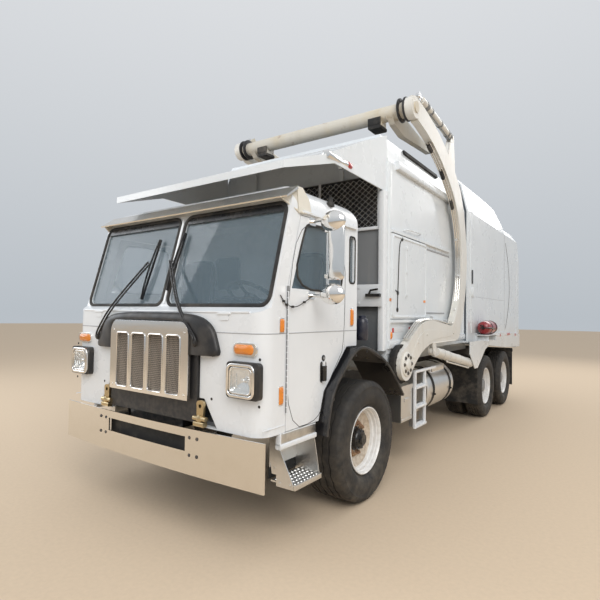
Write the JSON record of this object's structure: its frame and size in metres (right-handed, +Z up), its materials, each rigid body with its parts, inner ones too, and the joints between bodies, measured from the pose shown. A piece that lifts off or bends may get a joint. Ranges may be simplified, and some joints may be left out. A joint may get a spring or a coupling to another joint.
{
  "type": "front-loading garbage truck",
  "caption": "Cab-over front-loading refuse truck with lifting arms and folding forks, open-topped hopper with packer blade, hinged tailgate, opening doors, steering and rolling wheels.",
  "frame": {"origin": "ground point under the middle of the truck's bounding box", "axes": "+X to the driver's (left) side, -Y to the front, +Z up"},
  "size_m": [2.99, 8.64, 4.202],
  "materials": {
    "chassis_black": "satin",
    "engine_iron": "rough",
    "black_panel": "satin",
    "polished_steel": "polished",
    "white_paint": "gloss",
    "tinted_glass": "gloss",
    "cab_trim": "matte",
    "black_plastic": "satin",
    "seat_fabric": "matte",
    "chrome_trim": "polished",
    "lamp_lens": "gloss",
    "amber_lens": "gloss",
    "plain_aluminium": "satin",
    "grey_paint": "satin",
    "red_lens": "gloss",
    "black_rubber": "matte",
    "arm_white": "satin",
    "fork_cream": "worn",
    "rod_chrome": "polished",
    "tyre_rubber": "matte",
    "rim_white": "gloss"
  },
  "bodies": {
    "chassis": {"frame_rails": "chassis_black", "front_axle": "chassis_black", "tandem_axles": "chassis_black", "engine_block": "engine_iron", "radiator": "black_panel", "front_bumper": "polished_steel", "cab_front": "white_paint", "cab_roof": "white_paint", "cab_back_wall": "white_paint", "cab_side_walls": "white_paint", "cab_glass": "tinted_glass", "cab_floor": "cab_trim", "dashboard": "cab_trim", "steering_wheel": "black_plastic", "seats": "seat_fabric", "sun_visor": "polished_steel", "grille": "chrome_trim", "grille_surround": "black_plastic", "headlamps": "lamp_lens", "amber_lamps": "amber_lens", "cab_steps": "plain_aluminium", "front_fenders": "black_plastic", "fuel_tanks": "plain_aluminium", "step_boxes": "plain_aluminium", "screen_and_tank": "grey_paint", "hopper": "white_paint", "canopy": "white_paint", "body_shell": "white_paint", "tail_lamps": "red_lens", "mud_flaps": "black_rubber"},
    "left_front_wheel": {"left_front_tyre": "tyre_rubber", "left_front_rim": "rim_white"},
    "left_drive_wheels": {"left_drive_tyres": "tyre_rubber", "left_drive_rims": "rim_white"},
    "left_tag_wheels": {"left_tag_tyres": "tyre_rubber", "left_tag_rims": "rim_white"},
    "left_door": {"left_door": "white_paint", "left_door_glass": "tinted_glass", "left_mirror": "chrome_trim"},
    "left_knuckle": {"left_knuckle": "chassis_black"},
    "right_front_wheel": {"right_front_tyre": "tyre_rubber", "right_front_rim": "rim_white"},
    "right_drive_wheels": {"right_drive_tyres": "tyre_rubber", "right_drive_rims": "rim_white"},
    "right_tag_wheels": {"right_tag_tyres": "tyre_rubber", "right_tag_rims": "rim_white"},
    "right_door": {"right_door": "white_paint", "right_door_glass": "tinted_glass", "right_mirror": "chrome_trim"},
    "right_knuckle": {"right_knuckle": "chassis_black"},
    "tie_rod": {"tie_rod": "chassis_black"},
    "arms": {"arms": "arm_white"},
    "forks": {"forks": "fork_cream"},
    "lift_barrels": {"lift_cylinder_barrels": "arm_white"},
    "lift_rods": {"lift_cylinder_rods": "rod_chrome"},
    "fork_barrels": {"fork_cylinder_barrels": "arm_white"},
    "fork_rods": {"fork_cylinder_rods": "rod_chrome"},
    "packer": {"packer_blade": "grey_paint"},
    "tailgate": {"tailgate": "white_paint"},
    "hopper_door": {"hopper_side_door": "white_paint"}
  },
  "joints": [
    {"name": "left_steering", "type": "hinge", "parent": "chassis", "child": "left_knuckle", "pos_m": [0.88, -2.784, 0.545], "axis": [0, 0, 1], "range_deg": [-35, 35]},
    {"name": "left_front_roll", "type": "hinge", "parent": "left_knuckle", "child": "left_front_wheel", "pos_m": [1.028, -2.784, 0.545], "axis": [1, 0, 0], "continuous": true},
    {"name": "left_drive_roll", "type": "hinge", "parent": "chassis", "child": "left_drive_wheels", "pos_m": [0.9115, 1.66, 0.515], "axis": [1, 0, 0], "continuous": true},
    {"name": "left_tag_roll", "type": "hinge", "parent": "chassis", "child": "left_tag_wheels", "pos_m": [0.9115, 3.01, 0.515], "axis": [1, 0, 0], "continuous": true},
    {"name": "left_door_hinge", "type": "hinge", "parent": "chassis", "child": "left_door", "pos_m": [1.174, -3.978, 1.6], "axis": [0, 0, 1], "range_deg": [-70, 0]},
    {"name": "right_steering", "type": "hinge", "parent": "chassis", "child": "right_knuckle", "pos_m": [-0.88, -2.784, 0.545], "axis": [0, 0, 1], "range_deg": [-35, 35]},
    {"name": "right_front_roll", "type": "hinge", "parent": "right_knuckle", "child": "right_front_wheel", "pos_m": [-1.028, -2.784, 0.545], "axis": [1, 0, 0], "continuous": true},
    {"name": "right_drive_roll", "type": "hinge", "parent": "chassis", "child": "right_drive_wheels", "pos_m": [-0.9115, 1.66, 0.515], "axis": [1, 0, 0], "continuous": true},
    {"name": "right_tag_roll", "type": "hinge", "parent": "chassis", "child": "right_tag_wheels", "pos_m": [-0.9115, 3.01, 0.515], "axis": [1, 0, 0], "continuous": true},
    {"name": "right_door_hinge", "type": "hinge", "parent": "chassis", "child": "right_door", "pos_m": [-1.174, -3.978, 1.6], "axis": [0, 0, -1], "range_deg": [-70, 0]},
    {"name": "tie_rod_pivot", "type": "hinge", "parent": "left_knuckle", "child": "tie_rod", "pos_m": [0.88, -2.624, 0.402], "axis": [0, 0, 1], "range_deg": [-35, 35]},
    {"name": "arms_lift", "type": "hinge", "parent": "chassis", "child": "arms", "pos_m": [0, -2.07, 1.19], "axis": [1, 0, 0], "range_deg": [0, 107]},
    {"name": "lift_barrel_pivot", "type": "hinge", "parent": "arms", "child": "lift_barrels", "pos_m": [0, -1.22, 1.275], "axis": [1, 0, 0], "range_deg": [-117.6, 0]},
    {"name": "lift_rod_slide", "type": "slide", "parent": "lift_barrels", "child": "lift_rods", "axis": [0, 0.9864, -0.1644], "range_m": [0, 1.3263]},
    {"name": "fork_tilt", "type": "hinge", "parent": "arms", "child": "forks", "pos_m": [0, -1.87, 3.97], "axis": [1, 0, 0], "range_deg": [0, 85]},
    {"name": "fork_barrel_pivot", "type": "hinge", "parent": "arms", "child": "fork_barrels", "pos_m": [0, -0.57, 4.05], "axis": [1, 0, 0], "range_deg": [0, 2.2]},
    {"name": "fork_rod_slide", "type": "slide", "parent": "fork_barrels", "child": "fork_rods", "axis": [0, -0.9959, 0.0904], "range_m": [0, 0.3249]},
    {"name": "packer_slide", "type": "slide", "parent": "chassis", "child": "packer", "axis": [0, 1, 0], "range_m": [0, 1.9]},
    {"name": "hopper_door_slide", "type": "slide", "parent": "chassis", "child": "hopper_door", "axis": [0, 1, 0], "range_m": [0, 0.9]},
    {"name": "tailgate_hinge", "type": "hinge", "parent": "chassis", "child": "tailgate", "pos_m": [0, 2.93, 3.5], "axis": [1, 0, 0], "range_deg": [0, 85]}
  ],
  "couplings": [
    {"joint": "right_steering", "follows": "left_steering", "ratio": 1},
    {"joint": "tie_rod_pivot", "follows": "left_steering", "ratio": -1},
    {"joint": "lift_barrel_pivot", "follows": "arms_lift", "ratio": -1.0898},
    {"joint": "lift_rod_slide", "follows": "arms_lift", "m_per_rad": 0.70751},
    {"joint": "fork_barrel_pivot", "follows": "fork_tilt", "ratio": 0.020034},
    {"joint": "fork_rod_slide", "follows": "fork_tilt", "m_per_rad": 0.21697}
  ]
}
